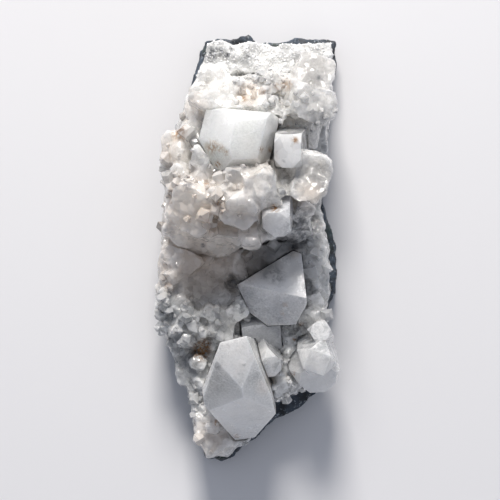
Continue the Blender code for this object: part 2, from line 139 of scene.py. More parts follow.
board = {"halfWidth": 2.0, "below": 0.05 * mm, "colour": "#E1E1E3", "rough": 0.85}
floorMesh = bpy.data.meshes.new("floor")
shape = bmesh.new()
bmesh.ops.create_grid(shape, x_segments=1, y_segments=1, size=board["halfWidth"])
bmesh.ops.translate(shape, vec=(0, 0, -board["below"]), verts=shape.verts)
shape.to_mesh(floorMesh)
shape.free()
floor = bpy.data.objects.new("floor", floorMesh)
scene.collection.objects.link(floor)
floorPaint = bpy.data.materials.new("matt_white_board")
floorPaint.use_nodes = True
floorShader = floorPaint.node_tree.nodes["Principled BSDF"]
floorShader.inputs["Base Color"].default_value = linearColour(board["colour"])
floorShader.inputs["Roughness"].default_value = board["rough"]
floorMesh.materials.append(floorPaint)
print("camera, light and floor ready")


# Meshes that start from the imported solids

def mergedCopy(node, flatAngle=0.6):
    # the solid's corners joined up, and its triangles turned back into flat faces
    shape = bmesh.new()
    shape.from_mesh(frame["nodes"][node].data)
    bmesh.ops.remove_doubles(shape, verts=shape.verts, dist=0.001 * mm)
    bmesh.ops.dissolve_limit(shape, angle_limit=math.radians(flatAngle),
                             verts=shape.verts, edges=shape.edges)
    return shape


def newPiece(name, shape, finish):
    mesh = bpy.data.meshes.new(name)
    shape.to_mesh(mesh)
    shape.free()
    mesh.materials.append(finish)
    piece = bpy.data.objects.new(name, mesh)
    scene.collection.objects.link(piece)
    return piece


def plainMesh(piece):
    # what the modifiers make becomes the mesh, and they are removed
    graph = bpy.context.evaluated_depsgraph_get()
    mesh = bpy.data.meshes.new_from_object(
        piece.evaluated_get(graph), preserve_all_data_layers=True, depsgraph=graph)
    mesh.name = piece.name
    piece.modifiers.clear()
    piece.data = mesh


def crossCut(shape, spacing):
    # cuts the faces into small cells, so that they can be shaped and tinted
    points = [v.co for v in shape.verts]
    for axis in range(3):
        low, high = min(p[axis] for p in points), max(p[axis] for p in points)
        normal = Vector([float(i == axis) for i in range(3)])
        steps = int((high - low) / spacing)
        for i in range(1, steps + 1):
            at = normal * (low + (i - 0.37) * spacing)
            everything = shape.verts[:] + shape.edges[:] + shape.faces[:]
            bmesh.ops.bisect_plane(shape, geom=everything, dist=1e-8, plane_co=at, plane_no=normal)


def remeshed(node, voxel, finish, name):
    # done in millimetres, because the remesher loses a mesh whose cells are this small
    shape = mergedCopy(node)
    bmesh.ops.scale(shape, vec=(1 / mm, 1 / mm, 1 / mm), verts=shape.verts)
    piece = newPiece(name, shape, finish)
    fine = piece.modifiers.new("fine", "REMESH")
    fine.mode = "VOXEL"
    fine.voxel_size = voxel
    fine.use_smooth_shade = True
    plainMesh(piece)
    piece.data.transform(Matrix.Scale(mm, 4))
    piece.data.materials.clear()
    piece.data.materials.append(finish)
    return piece


def meshValues(items, key, width=3):
    values = np.empty(len(items) * width, np.float32)
    items.foreach_get(key, values)
    return values.reshape(-1, width).astype(np.float64)


def coordinates(mesh):
    return meshValues(mesh.vertices, "co") / mm     # in millimetres


def normalsOf(mesh):
    return meshValues(mesh.vertex_normals, "vector")


def moveTo(mesh, points):
    mesh.vertices.foreach_set("co", (points * mm).astype(np.float32).ravel())
    mesh.update()


def setAttribute(mesh, name, values):
    attribute = mesh.attributes.get(name) or mesh.attributes.new(name, "FLOAT", "POINT")
    attribute.data.foreach_set("value", np.clip(values, 0, 1).astype(np.float32))


def waves(points, length, seed, fine=0.3):
    # smooth noise between about -1 and 1, with a finer one on it
    found = []
    for point in points / length:
        at = Vector(point) + Vector((seed * 7.3, 0, 0))
        found.append(noise.noise(at) + fine * noise.noise(at * 3.1))
    return np.array(found)


def averaged(mesh, points, rounds):
    # each point drawn towards its neighbours, so that small forms go and large ones stay
    ends = meshValues(mesh.edges, "vertices", 2).astype(int)
    one, two, total = ends[:, 0], ends[:, 1], len(points)
    links = np.bincount(one, minlength=total) + np.bincount(two, minlength=total) + 1
    for _ in range(rounds):
        summed = [np.bincount(one, points[two, i], total) + np.bincount(two, points[one, i], total)
                  for i in range(3)]
        points = (points + np.stack(summed, 1)) / links[:, None]
    return points


def hollowness(mesh, rounds, depth):
    # above 0 in a hollow of about that depth in millimetres, below 0 on a ridge
    points = coordinates(mesh)
    inward = averaged(mesh, points, rounds) - points
    return (inward * normalsOf(mesh)).sum(1) / depth


def blockyRelief(points, cell, seed):
    # 0 in the middle of each small turned cube, and about 0.6 where it meets the next
    draw = np.random.default_rng(seed)
    low = points.min(0) - cell
    counts = np.ceil((points.max(0) + cell - low) / cell).astype(int)
    grid = np.stack(np.meshgrid(*[np.arange(c) for c in counts], indexing="ij"), -1).reshape(-1, 3)
    middles = low + (grid + draw.random(grid.shape)) * cell
    quat = draw.normal(size=(len(middles), 4))      # a random turn for each cube
    w, x, y, z = (quat / np.linalg.norm(quat, axis=1, keepdims=True)).T
    turns = np.stack([1 - 2 * (y * y + z * z), 2 * (x * y - z * w), 2 * (x * z + y * w),
                      2 * (x * y + z * w), 1 - 2 * (x * x + z * z), 2 * (y * z - x * w),
                      2 * (x * z - y * w), 2 * (y * z + x * w), 1 - 2 * (x * x + y * y)], 1)
    turns = turns.reshape(-1, 3, 3)
    size = draw.uniform(0.75, 1.3, len(middles))
    tree = KDTree(len(middles))
    for i, middle in enumerate(middles):
        tree.insert(middle, i)
    tree.balance()
    near = np.array([[found[1] for found in tree.find_n(point, 4)] for point in points])
    local = np.einsum("nkij,nkj->nki", turns[near], points[:, None, :] - middles[near])
    return (np.abs(local).max(-1) / (cell * size[near])).min(1)


def spotted(points, spots):
    # full strength up to half the radius, then falling to 0 at one and a half times the radius
    total = np.zeros(len(points))
    for x, y, radius, amount in spots:
        away = np.hypot(points[:, 0] - x, points[:, 1] - y) / radius
        total = np.maximum(total, amount * np.clip(1.5 - away, 0, 1))
    return total


# Where the specimen is tinted, seen from above: x, y, radius and strength, in millimetres. blush is
# a faint pinkish brown and rust iron stains. The dark spots are partly rock and clay and partly
# painted shade in recesses and under overhangs, the bare spots partly clearer, smoother faces and
# partly painted shade, and the pale spots are painted light, whiter where faces lie in shade.

tints = {
    "blush": [
        (-15, 9.8, 9.6, 1), (-11.3, 0.9, 12.4, 1), (-2.9, 7, 7.7, 0.9), (-20.9, 27.9, 5, 0.6),
        (-14.3, 38.1, 4.1, 0.6), (1.2, 41.4, 3.3, 0.9), (4.3, 22.2, 3.9, 0.5),
        (-1.5, 16.8, 6.9, 0.5), (1.2, 27.4, 2.8, 0.2), (16.7, 14.2, 3.3, 0.6),
        (-20.6, -6, 5.5, 0.7), (-10.3, -54.9, 6.1, 0.6), (5, -37.5, 2.2, 0.3),
        (14.1, -1.3, 1.4, 0.5),
    ],
    "rust": [
        (-7.4, 22.6, 0.8, 1), (-9, 27.2, 1.7, 0.7), (-6.8, 26.7, 1.1, 0.6), (-5.2, 25.3, 0.6, 0.9),
        (4.1, 26.4, 0.6, 0.7), (6.6, 26.7, 0.6, 0.8), (13.2, 28.9, 0.8, 0.9),
        (-0.7, 40.3, 0.8, 0.9), (-18.4, 32.2, 2.2, 0.8), (-10.7, 17.6, 0.8, 0.8),
        (-20.5, 12.3, 0.6, 0.7), (-7.1, 11.8, 0.7, 0.8), (-6.6, 9.7, 0.6, 0.7),
        (-10.2, 6, 0.8, 0.7), (-21.9, -10.3, 0.8, 0.7), (13.7, -26.2, 0.7, 0.8),
        (13.4, -35.6, 0.7, 0.7), (-8.5, -49.8, 0.8, 1), (-2.6, -53.5, 0.7, 0.7),
        (-12.6, -29.1, 2.5, 1), (-11.7, -27.5, 1.7, 1), (10.9, -15.8, 0.6, 0.5),
        (10.4, -18.1, 0.6, 0.5), (15.7, -21.6, 0.6, 0.8), (7.8, 10.7, 1.1, 0.9),
        (11.3, 45.2, 1.7, 0.5), (4.9, 42.3, 0.8, 0.6), (8.6, 44.3, 1.1, 0.6),
        (-6.5, -2.7, 0.8, 0.6),
    ],
    # dark spots of rock and clay, with painted shade in the recesses and under the overhangs
    "shade": [
        (-15.5, 17.8, 2.2, 0.9), (-21.4, 4.2, 1.9, 0.7), (-11.9, 0.9, 0.6, 0.9),
        (14.5, 53, 0.6, 0.8), (20.4, 47, 0.8, 0.7), (0.6, 55.1, 1.8, 0.7), (-9.8, 56.3, 2.4, 1),
        (-13.5, 56, 1, 1), (-7.5, 56.8, 1.1, 0.9), (-5.5, 55.9, 0.7, 0.9), (-4, 57.3, 0.7, 0.9),
        (17.2, -10.8, 1.4, 0.9), (13.7, 0.4, 1.4, 0.8), (-2.8, -10.7, 1.1, 0.9),
        (-4, -9.6, 2.2, 0.6), (10.2, -30.9, 1.1, 0.9), (15.1, 5.1, 5, 0.8), (19.8, 33, 3.9, 0.5),
        (3.8, 13.4, 6, 0.2), (12.5, 18.5, 3.3, 0.5), (10.4, 14.8, 0.8, 0.7), (8.4, -7.7, 2.3, 0.6),
        (5.6, -7.5, 1.1, 0.6), (-20.9, -29.1, 0.8, 0.7), (-15.2, -39.1, 1.9, 0.6),
        (-15.9, -33.2, 5, 0.3), (8.1, 25.3, 0.4, 0.8), (10, 23.7, 0.4, 0.8),
        (-6.3, -26.1, 0.4, 0.6), (-4.5, -26.1, 0.4, 0.6), (-0.7, -31.6, 0.4, 0.7),
        (-1.5, -33.8, 0.4, 0.7), (-7.7, -31.7, 1.1, 0.5), (-12.6, -29, 2.4, 0.2),
    ],
    # clearer, smoother faces, darkened partly as painted shade in the recesses
    "bare": [
        (-12.4, -8.9, 6.8, 1), (-5.9, -20.8, 4.4, 0.25), (5, -3.5, 5, 0.9),
        (-16.6, -34.3, 3.3, 0.3), (18.5, 49.5, 6, 0.5), (20, 38, 6, 0.2), (1, -5.5, 3.5, 0.8),
        (12, 0, 3, 0.8), (15.5, -7, 4, 0.35), (15, -15.5, 3.5, 0.2), (19, 17, 5.5, 0.6),
    ],
    # painted light: whiter patches where faces lie in shade
    "pale": [
        (20.5, -3.9, 5, 0.9), (-10, -54, 6, 0.9), (-2.9, 7, 8, 1), (-11, 2, 9, 1),
        (10.2, -41, 5, 0.6), (19.3, -37, 6, 1), (-2, -46, 9, 0.9), (11.2, 26, 6, 1),
        (-9.5, -19, 4, 0.5), (4.6, -26, 5, 0.6), (8.3, 5, 5, 0.9), (21, -16, 4, 0.4),
        (-20, 1, 5, 0.4), (8.5, 31, 4, 0.8), (12, 36, 4, 0.5), (19, 34, 5, 0.6), (7, -7.5, 5, 0.9),
        (4, -46, 6, 0.7), (-19, -3, 4, 0.9), (10.5, -3.6, 5, 1), (-2.6, -31, 4.5, 0.8),
        (-12, 12, 8, 0.9), (-2, 15, 6, 1), (-9.5, -48.5, 5, 0.9), (19, 46, 6, 0.4),
        (19, 37, 6, 0.5), (6.3, 42.5, 5, 0.4),
    ],
}


def tintAll(piece):
    points = coordinates(piece.data)
    for name, spots in tints.items():
        setAttribute(piece.data, name, spotted(points, spots))


# Apophyllite: glassy on broken and clear faces, pearly to frosted on grown ones, with sheets of
# tiny cleavage cracks inside that catch the light. Its index of refraction is about 1.535.
# Lengths are in millimetres: patch, crack, facet and line are the sizes of the cloudy patches, the
# cells between cleavage cracks, the small faces and the growth lines, and scatter is how far light
# wanders inside, for the share of it that glow gives. panes is how much one small face differs from
# the next, facetSlope, lineSlope and grit are how steep the fine relief is, streak, veil and grain
# are how strongly growth lines, cracks and specks show, and fold is how strongly the hollows are
# darkened with painted shade.

crystalIor = 1.535
crystalLooks = {
    "pearly_apophyllite": {     # whole grown faces: an even greenish white with a soft sheen
        "pale": "#FBFDF7", "deep": "#DADDD6", "transmission": 0.05, "glow": 0.8, "rough": (0.08, 0.32),
        "fold": 0, "coat": 0.0, "patch": 9, "crack": 5, "facet": 4.5, "panes": 0.18, "facetSlope": 0.05,
        "line": 0.6, "streak": 0.4, "lineSlope": 0.1, "grit": 0.03, "veil": 0.3, "grain": 0.3,
        "scatter": 24,
    },
    "milky_apophyllite": {      # cloudy inside: greyer and softer, with faint specks
        "pale": "#FCFCFA", "deep": "#BBBDBC", "transmission": 0.1, "glow": 0.68, "rough": (0.12, 0.36),
        "fold": 0, "coat": 0.0, "patch": 7, "crack": 5, "facet": 6, "panes": 0.2, "facetSlope": 0.03,
        "line": 0.6, "streak": 0.3, "lineSlope": 0.12, "grit": 0.04, "veil": 0.3, "grain": 0.6,
        "scatter": 14,
    },
    "frosted_apophyllite": {    # finely etched faces: matt, with a bluish cast that is partly painted shade, the blue of skylight on faces in shade
        "pale": "#F5F6F8", "deep": "#BFC1C6", "transmission": 0.12, "glow": 0.72, "rough": (0.15, 0.45),
        "fold": 0, "coat": 0.0, "patch": 6, "crack": 4, "facet": 5, "panes": 0.25, "facetSlope": 0.04,
        "line": 0.5, "streak": 0.3, "lineSlope": 0.1, "grit": 0.03, "veil": 0.35, "grain": 0.5,
        "scatter": 18,
    },
    "clear_apophyllite": {      # glassy: sharp glints, and light shows through
        "pale": "#FFFFFF", "deep": "#B4B7B9", "transmission": 0.2, "glow": 0.7, "rough": (0.02, 0.1),
        "fold": 0, "coat": 0.5, "patch": 3, "crack": 2.5, "facet": 2.6, "panes": 0.6, "facetSlope": 0.16,
        "line": 0.5, "streak": 0.5, "lineSlope": 0.05, "grit": 0.02, "veil": 0.6, "grain": 0.3,
        "scatter": 8,
    },
    "intergrown_apophyllite": {     # a mass of crystals: many faces, clear and white by turns
        "pale": "#FCFAF5", "deep": "#BAB7B1", "transmission": 0.1, "glow": 0.6, "rough": (0.03, 0.24),
        "fold": 0.2, "coat": 0.6, "patch": 6, "crack": 2.8, "facet": 2.0, "panes": 0.65,
        "facetSlope": 0.42, "line": 0.5, "streak": 0.5, "lineSlope": 0.08, "grit": 0.05, "veil": 0.7,
        "grain": 0.5, "scatter": 16,
    },
    "crust_apophyllite": {      # a thin coat of crystals: greyer, because the rock shows through
        "pale": "#FBFBF8", "deep": "#9E9F9E", "transmission": 0.1, "glow": 0.38, "rough": (0.02, 0.2),
        "fold": 0.4, "coat": 0.6, "patch": 4, "crack": 2.2, "facet": 1.6, "panes": 0.75,
        "facetSlope": 0.45, "line": 0.5, "streak": 0.55, "lineSlope": 0.08, "grit": 0.08, "veil": 0.7,
        "grain": 0.6, "scatter": 6,
    },
    "druse_apophyllite": {      # small sharp crystals: clear, and bright at their edges
        "pale": "#FDFDFC", "deep": "#B4B6B7", "transmission": 0.42, "glow": 0.4, "rough": (0.02, 0.12),
        "fold": 0, "coat": 0.5, "patch": 3, "crack": 2, "facet": 1.6, "panes": 0.4, "facetSlope": 0.12,
        "line": 0.4, "streak": 0.4, "lineSlope": 0.05, "grit": 0.02, "veil": 0.5, "grain": 0.2,
        "scatter": 0.6,
    },
    "sugary_apophyllite": {     # loose-looking grains: plain white, like sugar
        "pale": "#FFFFFF", "deep": "#F2F3F3", "transmission": 0.0, "glow": 0.5, "rough": (0.1, 0.35),
        "fold": 0, "coat": 0.0, "patch": 3, "crack": 2.5, "facet": 0.8, "panes": 0.2, "facetSlope": 0.15,
        "line": 0.5, "streak": 0.2, "lineSlope": 0.04, "grit": 0.02, "veil": 0.3, "grain": 0.1,
        "scatter": 1.0,
    },
}

# What lies over the crystals' own colour, and how strongly. The names are those of the tints. The
# pale spots are painted light, the whitened ridges partly wear and partly painted highlight, the
# darkened hollows painted shade, and the dark and bare spots partly painted shade.

crystalMarks = {
    "specks": "#808284", "streaks": "#FFFFFF", "veils": "#FFFFFF",      # strengths are in the looks
    "pale": (0.8, "#FDFCFA"), "ridge": (0.8, "#FFFFFF"), "hollow": (1.0, "#858481"),
    "bare": (0.9, "#666667"), "blush": (0.7, "#F5E4D4"), "shade": (0.9, "#4A4F57"),
    "rust": (1.0, "#966B36"),
}


def nodeTools(tree):
    # the few steps that every material here is made of
    place = addNode(tree, "ShaderNodeTexCoord").outputs["Object"]

    def patches(size, detail, low, high):
        # soft-edged patches of about that many millimetres
        spread = addNode(tree, "ShaderNodeTexNoise", None,
                         {"Vector": place, "Scale": 1000 / size, "Detail": detail, "Roughness": 0.6})
        return addNode(tree, "ShaderNodeMapRange", {"interpolation_type": "SMOOTHSTEP"},
                       {"Value": spread.outputs["Fac"], "From Min": low, "From Max": high}).outputs[0]

    def mixed(amount, one, two):
        node = addNode(tree, "ShaderNodeMix", {"data_type": "RGBA"}, {0: amount})
        for key, colour in ((6, one), (7, two)):
            if isinstance(colour, str):
                node.inputs[key].default_value = linearColour(colour)
            else:
                tree.links.new(colour, node.inputs[key])
        return node.outputs[2]

    def combined(operation, *values):
        return addNode(tree, "ShaderNodeMath", {"operation": operation},
                       dict(enumerate(values))).outputs[0]

    def attribute(key):
        return addNode(tree, "ShaderNodeAttribute", {"attribute_name": key}).outputs["Fac"]

    return place, patches, mixed, combined, attribute


def crystalMaterial(name):
    look = crystalLooks[name]
    finish = bpy.data.materials.new(name)
    finish.use_nodes = True
    tree = finish.node_tree
    shader = tree.nodes["Principled BSDF"]
    place, patches, mixed, combined, attribute = nodeTools(tree)

    # small leaning faces, each a little clearer or whiter than the next
    facets = addNode(tree, "ShaderNodeTexVoronoi", None,
                     {"Vector": place, "Scale": 1000 / look["facet"]})
    inside = addNode(tree, "ShaderNodeVectorMath", {"operation": "SUBTRACT"},
                     {0: place, 1: facets.outputs["Position"]})
    lean = addNode(tree, "ShaderNodeVectorMath", {"operation": "SUBTRACT"},
                   {0: facets.outputs["Color"], 1: (0.5, 0.5, 0.5)})
    tilt = addNode(tree, "ShaderNodeVectorMath", {"operation": "DOT_PRODUCT"},
                   {0: inside.outputs[0], 1: lean.outputs[0]})
    pane = addNode(tree, "ShaderNodeSeparateXYZ", None, {0: lean.outputs[0]}).outputs[1]

    # growth lines about half a millimetre apart, which run another way in each small face
    ways = addNode(tree, "ShaderNodeVectorMath", {"operation": "SCALE"},
                   {0: facets.outputs["Color"], "Scale": look["panes"] * 6})
    along = addNode(tree, "ShaderNodeVectorRotate", {"rotation_type": "EULER_XYZ"},
                    {"Vector": place, "Rotation": ways.outputs[0]})
    stretched = addNode(tree, "ShaderNodeMapping", None,
                        {"Vector": along.outputs[0], "Rotation": (0.2, 0.1, 0.15),
                         "Scale": (120 / look["line"], 1000 / look["line"], 120 / look["line"])})
    lines = addNode(tree, "ShaderNodeTexNoise", None,
                    {"Vector": stretched.outputs[0], "Scale": 1.0, "Detail": 2})
    streaks = addNode(tree, "ShaderNodeMapRange", {"interpolation_type": "SMOOTHSTEP"},
                      {"Value": lines.outputs["Fac"], "From Min": 0.5, "From Max": 0.72}).outputs[0]
    streaks = combined("MULTIPLY", streaks, patches(3, 2, 0.4, 0.6))

    # frost is 0 on clear, dark faces and 1 on white, frosted ones
    cloud = combined("MULTIPLY_ADD", patches(look["patch"], 5, 0.36, 0.64), 0.4, -0.2)
    cloud = combined("MULTIPLY_ADD", pane, look["panes"], cloud)
    frost = addNode(tree, "ShaderNodeMath", {"operation": "ADD", "use_clamp": True},
                    {0: attribute("frost"), 1: cloud}).outputs[0]
    colour = mixed(frost, look["deep"], look["pale"])

    # cleavage cracks between bent cells, seen only in patches
    bend = addNode(tree, "ShaderNodeTexNoise", None, {"Vector": place, "Scale": 400, "Detail": 3})
    bent = addNode(tree, "ShaderNodeVectorMath", {"operation": "MULTIPLY_ADD"},
                   {0: bend.outputs["Color"], 1: (1.6 * mm,) * 3, 2: place})
    cells = addNode(tree, "ShaderNodeTexVoronoi", {"feature": "DISTANCE_TO_EDGE"},
                    {"Vector": bent.outputs[0], "Scale": 1000 / look["crack"]})
    cracks = addNode(tree, "ShaderNodeMapRange", {"interpolation_type": "SMOOTHSTEP"},
                     {"Value": cells.outputs["Distance"], "From Max": 0.05, "To Min": 1, "To Max": 0})
    veils = combined("MULTIPLY", cracks.outputs[0], patches(look["patch"] * 0.6, 3, 0.42, 0.6))
    specks = combined("MULTIPLY", patches(0.5, 3, 0.35, 0.7), combined("SUBTRACT", 1.25, frost))
    covers = ((specks, "grain", "specks"), (streaks, "streak", "streaks"), (veils, "veil", "veils"))
    for cover, strength, mark in covers:
        colour = mixed(combined("MULTIPLY", cover, look[strength]), colour, crystalMarks[mark])
    # the pale spots add painted light, the whitened ridges partly painted highlight, and the darkened
    # hollows and bare spots partly painted shade
    for mark in ("pale", "ridge", "hollow", "bare", "blush"):
        amount, paint = crystalMarks[mark]
        amount *= look["fold"] if mark == "hollow" else 1
        colour = mixed(combined("MULTIPLY", attribute(mark), amount), colour, paint)
    # dark spots with their painted shade, and iron stains, break up into smaller patches
    for mark, spread in (("shade", patches(1.6, 5, 0.36, 0.6)), ("rust", patches(0.8, 4, 0.35, 0.58))):
        amount, paint = crystalMarks[mark]
        broken = combined("MULTIPLY", attribute(mark), spread)
        colour = mixed(combined("MULTIPLY", broken, amount), colour, paint)
    tree.links.new(colour, shader.inputs["Base Color"])

    low, high = look["rough"]
    worn = combined("MULTIPLY", patches(look["patch"] * 0.6, 5, 0.4, 0.62), frost)
    rough = addNode(tree, "ShaderNodeMapRange", None, {"Value": worn, "To Min": low, "To Max": high})
    tree.links.new(rough.outputs[0], shader.inputs["Roughness"])

    fine = combined("MULTIPLY", lines.outputs["Fac"], look["lineSlope"] * look["line"] * mm)
    height = combined("MULTIPLY_ADD", tilt.outputs["Value"], 2 * look["facetSlope"], fine)
    height = combined("MULTIPLY_ADD", patches(1.0, 4, 0.25, 0.75), look["grit"] * mm, height)
    bump = addNode(tree, "ShaderNodeBump", None, {"Strength": 1.0, "Distance": 1.0, "Height": height})
    tree.links.new(bump.outputs[0], shader.inputs["Normal"])
    shader.inputs["Transmission Weight"].default_value = look["transmission"]
    shader.inputs["Coat Weight"].default_value = look["coat"]
    shader.inputs["Coat Roughness"].default_value = 0.04
    shader.inputs["Coat IOR"].default_value = crystalIor
    shader.inputs["IOR"].default_value = crystalIor
    shader.inputs["Subsurface Weight"].default_value = look["glow"]
    shader.inputs["Subsurface Radius"].default_value = (1.0, 0.96, 0.92)
    shader.inputs["Subsurface Scale"].default_value = look["scatter"] * mm
    return finish


crystalFinishes = {name: crystalMaterial(name) for name in crystalLooks}
print("crystal materials ready")


# Fine-grained basalt: matt and almost black with a blue-grey cast, with paler grains on fresh
# breaks and small gas holes, and dull green films of clay in places

basaltLook = {
    "dark": "#1F2328", "bluish": "#48525E", "grain": "#A7AFB6", "green": "#3C4A44",
    "rough": (0.5, 0.85), "grainSize": 0.7,     # real grains are finer, too fine to show
    "pitDepth": 0.25,
}


def basaltMaterial():
    finish = bpy.data.materials.new("weathered_basalt")
    finish.use_nodes = True
    tree = finish.node_tree
    shader = tree.nodes["Principled BSDF"]
    place, patches, mixed, combined, attribute = nodeTools(tree)
    colour = mixed(patches(4, 8, 0.4, 0.62), basaltLook["dark"], basaltLook["bluish"])
    colour = mixed(combined("MULTIPLY", patches(7, 4, 0.56, 0.68), 0.6), colour, basaltLook["green"])
    grains = patches(basaltLook["grainSize"], 2, 0.55, 0.66)
    grains = combined("MULTIPLY", grains, patches(3, 4, 0.4, 0.58))
    colour = mixed(combined("MULTIPLY", grains, 0.7), colour, basaltLook["grain"])
    tree.links.new(colour, shader.inputs["Base Color"])
    low, high = basaltLook["rough"]
    rough = addNode(tree, "ShaderNodeMapRange", None,
                    {"Value": patches(2, 4, 0.35, 0.65), "To Min": low, "To Max": high})
    tree.links.new(rough.outputs[0], shader.inputs["Roughness"])
    grit = addNode(tree, "ShaderNodeTexNoise", None, {"Vector": place, "Scale": 1500, "Detail": 5})
    bump = addNode(tree, "ShaderNodeBump", None,
                   {"Strength": 1.0, "Distance": basaltLook["pitDepth"] * mm,
                    "Height": grit.outputs["Fac"]})
    tree.links.new(bump.outputs[0], shader.inputs["Normal"])
    return finish


basaltFinish = basaltMaterial()


# The large crystals that stand clear: crisp faces with a narrow worn edge, in millimetres. Each
# face whose frost differs from the crystal's own is named by the way that it faces. These frost
# values are partly the faces' own frosting and partly painted light and shade, each face whiter
# or greyer to suit how it is lit.

largeCrystals = {
    "block_crystal": {
        "finish": "pearly_apophyllite", "edge": 0.3, "frost": 0.6,
        "faces": [((-0.71, 0.11, 0.69), 1.1), ((0.23, -0.08, 0.97), 0.75), ((-0.76, -0.29, 0.59), 0.5),
                  ((0.92, -0.23, 0.31), 0.4), ((0.07, 0.76, 0.64), 0.6)],
    },
    "wedge_crystal": {
        "finish": "frosted_apophyllite", "edge": 0.35, "frost": 0.3,
        "faces": [((-0.09, 0.49, 0.87), 1.2), ((-0.28, -0.51, 0.81), 0.35)],
    },
    "spear_crystal": {
        "finish": "milky_apophyllite", "edge": 0.3, "frost": 0.5,
        "faces": [((0.02, -0.32, 0.95), 1.2), ((-0.25, -0.52, 0.82), 0.2), ((0.38, -0.43, 0.82), 0.4),
                  ((0.03, -0.82, 0.57), 0.6)],
    },
    "shadow_crystal": {
        "finish": "frosted_apophyllite", "edge": 0.25, "frost": 0.3,
        "faces": [((0.13, -0.39, 0.91), 0.3)],
    },
    "clear_crystal": {"finish": "clear_apophyllite", "edge": 0.15, "frost": 0.4, "faces": []},
    "glassy_crystal": {
        "finish": "clear_apophyllite", "edge": 0.15, "frost": 0.9,
        "faces": [((-0.15, -0.21, 0.97), 1.2)],
    },
    "facet_crystal": {
        "finish": "frosted_apophyllite", "edge": 0.25, "frost": 0.4,
        "faces": [((-0.07, -0.50, 0.87), 0.55)],
    },
    "side_crystals": {
        "finish": "clear_apophyllite", "edge": 0.15, "frost": 0.4,
        "faces": [((-0.06, -0.23, 0.97), 0.55)],
    },
}


def alongEdges(edges, step):
    # points every so many millimetres along the edges
    found = []
    for edge in edges:
        one, two = edge.verts[0].co / mm, edge.verts[1].co / mm
        count = max(1, int((two - one).length / step))
        found += [one.lerp(two, i / count) for i in range(count + 1)]
    return found


def awayFrom(places, points):
    tree = KDTree(len(places))
    for i, place in enumerate(places):
        tree.insert(place, i)
    tree.balance()
    return np.array([tree.find(point)[2] for point in points])


wear = {"sharpAbove": 8, "rimStep": 0.25, "cell": 0.7, "wave": 0.05}     # degrees, then millimetres
standing = []
for seed, (node, made) in enumerate(largeCrystals.items()):
    shape = mergedCopy(node)
    sharp = [e for e in shape.edges if e.calc_face_angle(0) > math.radians(wear["sharpAbove"])]
    rims = alongEdges(sharp, wear["rimStep"])
    bmesh.ops.bevel(shape, geom=sharp, offset=made["edge"] * mm, segments=2, affect="EDGES",
                    profile=0.6, clamp_overlap=True)
    crossCut(shape, wear["cell"] * mm)
    piece = newPiece(node.replace("_", " ").title().replace(" ", "") + "Dressed", shape,
                     crystalFinishes[made["finish"]])
    mesh = piece.data
    points, outward = coordinates(mesh), normalsOf(mesh)
    frost = np.full(len(points), made["frost"])
    # painted light and shade on the named faces, along with their own frosting
    for direction, amount in made["faces"]:
        # full within about 11 degrees of the direction, none past 26
        share = np.clip((outward @ np.array(direction) - 0.9) / 0.08, 0, 1)
        frost += (amount - frost) * share
    setAttribute(mesh, "frost", frost)
    # edges whitened near the rims, partly chipped wear and partly painted highlight
    setAttribute(mesh, "ridge", 0.7 - 0.6 * awayFrom(rims, points) / made["edge"])
    moveTo(mesh, points + outward * (wear["wave"] * waves(points, 5, seed))[:, None])
    tintAll(piece)
    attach(piece, "root")
    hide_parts(node)
    standing.append(piece)
    print(node, len(mesh.polygons), "faces")


# The intergrown thick end, the crust and the rock: a fine remesh, then broken into facets.
# relief is a list of (cell size, depth), and dents one of (x, y, radius, depth, height above
# which the surface sinks), in millimetres.

grownSurfaces = {
    "upper_cluster": {
        "piece": "intergrownEnd", "finish": "intergrown_apophyllite", "voxel": 0.42, "frost": 0.68,
        "relief": [(8.0, 2.6), (3.6, 1.1), (1.6, 0.35)], "waves": 0.1,
        "dents": [(13.8, 22.2, 6.5, 6.5, 22)],
    },
    "crystal_crust": {
        "piece": "drusyCrust", "finish": "crust_apophyllite", "voxel": 0.46, "frost": 0.55,
        "relief": [(6.0, 1.8), (2.8, 0.9), (1.4, 0.35)], "waves": 0.1,
        "dents": [(-12.6, -29, 2, 1.6, 9), (-3.5, -10, 1.8, 2.5, 9), (9.5, -30, 1.5, 2, 9)],
    },
}
grown = {}
for seed, (node, made) in enumerate(grownSurfaces.items()):
    piece = remeshed(node, made["voxel"], crystalFinishes[made["finish"]], made["piece"])
    mesh = piece.data
    moveTo(mesh, averaged(mesh, coordinates(mesh), 4))
    points, outward = coordinates(mesh), normalsOf(mesh)
    calm = 1 - 0.8 * np.clip(spotted(points, tints["bare"]), 0, 1)      # bare faces stay smoother
    shift = made["waves"] * waves(points, 3, 20 + seed)
    for step, (cell, depth) in enumerate(made["relief"]):
        # less than the relief at the joints, so that the surface moves both out and in
        shift += depth * (0.32 - blockyRelief(points, cell, 10 * seed + step)) * calm
    points += outward * shift[:, None]
    for x, y, radius, depth, above in made["dents"]:
        share = spotted(points, [(x, y, radius, 1)]) * np.clip((points[:, 2] - above) / 4, 0, 1)
        points[:, 2] -= depth * share
    moveTo(mesh, points)
    mesh.set_sharp_from_angle(angle=math.radians(16))       # crisp creases between the facets
    folds = hollowness(mesh, 12, 0.35)
    # ridges whitened, partly wear and partly painted highlight; hollows marked for painted shade and for
    # where small crystals gather
    setAttribute(mesh, "ridge", -folds - 0.25)
    setAttribute(mesh, "hollow", folds - 0.2)
    frost = made["frost"] + 0.3 * waves(points, 9, 30 + seed)
    if node == "crystal_crust":
        frost += np.clip((points[:, 1] - 44) / 6, 0, 1)     # white and sugary at the thick end
    setAttribute(mesh, "frost", frost)
    tintAll(piece)
    grown[node] = piece
    print(node, len(mesh.polygons), "faces")


# Small crystals: square prisms under a four-sided point, some cut off flat or broken at a corner

smallCrystals = {"variants": 7, "seed": 5, "length": (0.2, 0.7), "point": (0.25, 0.6)}


